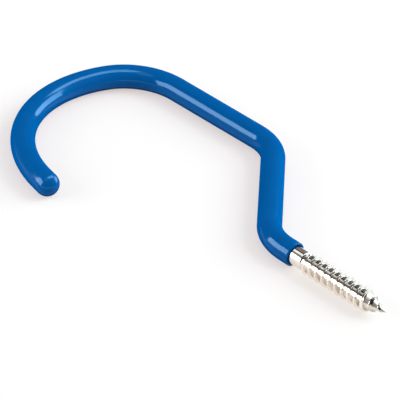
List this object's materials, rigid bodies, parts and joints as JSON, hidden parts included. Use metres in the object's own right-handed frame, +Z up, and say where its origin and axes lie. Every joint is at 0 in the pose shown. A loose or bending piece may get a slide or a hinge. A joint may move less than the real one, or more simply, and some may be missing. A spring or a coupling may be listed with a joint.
{
  "type": "bicycle storage hook",
  "caption": "Screw-in storage hook: a bent steel rod with a wood-screw thread and a soft blue vinyl sleeve that cradles a bicycle wheel or frame tube.",
  "frame": {"origin": "centre of the bounding box at the surface that the hook lies on", "axes": "+X along the screw's axis towards its point, +Y towards the hook's back, +Z up from the surface that it lies on"},
  "size_m": [0.1896, 0.0989, 0.0097],
  "materials": {
    "zinc_plated_steel": "bright zinc plate",
    "blue_vinyl": "smooth glossy dipped vinyl"
  },
  "bodies": {
    "root": {"steel_rod": "zinc_plated_steel", "vinyl_sleeve": "blue_vinyl"}
  },
  "joints": []
}
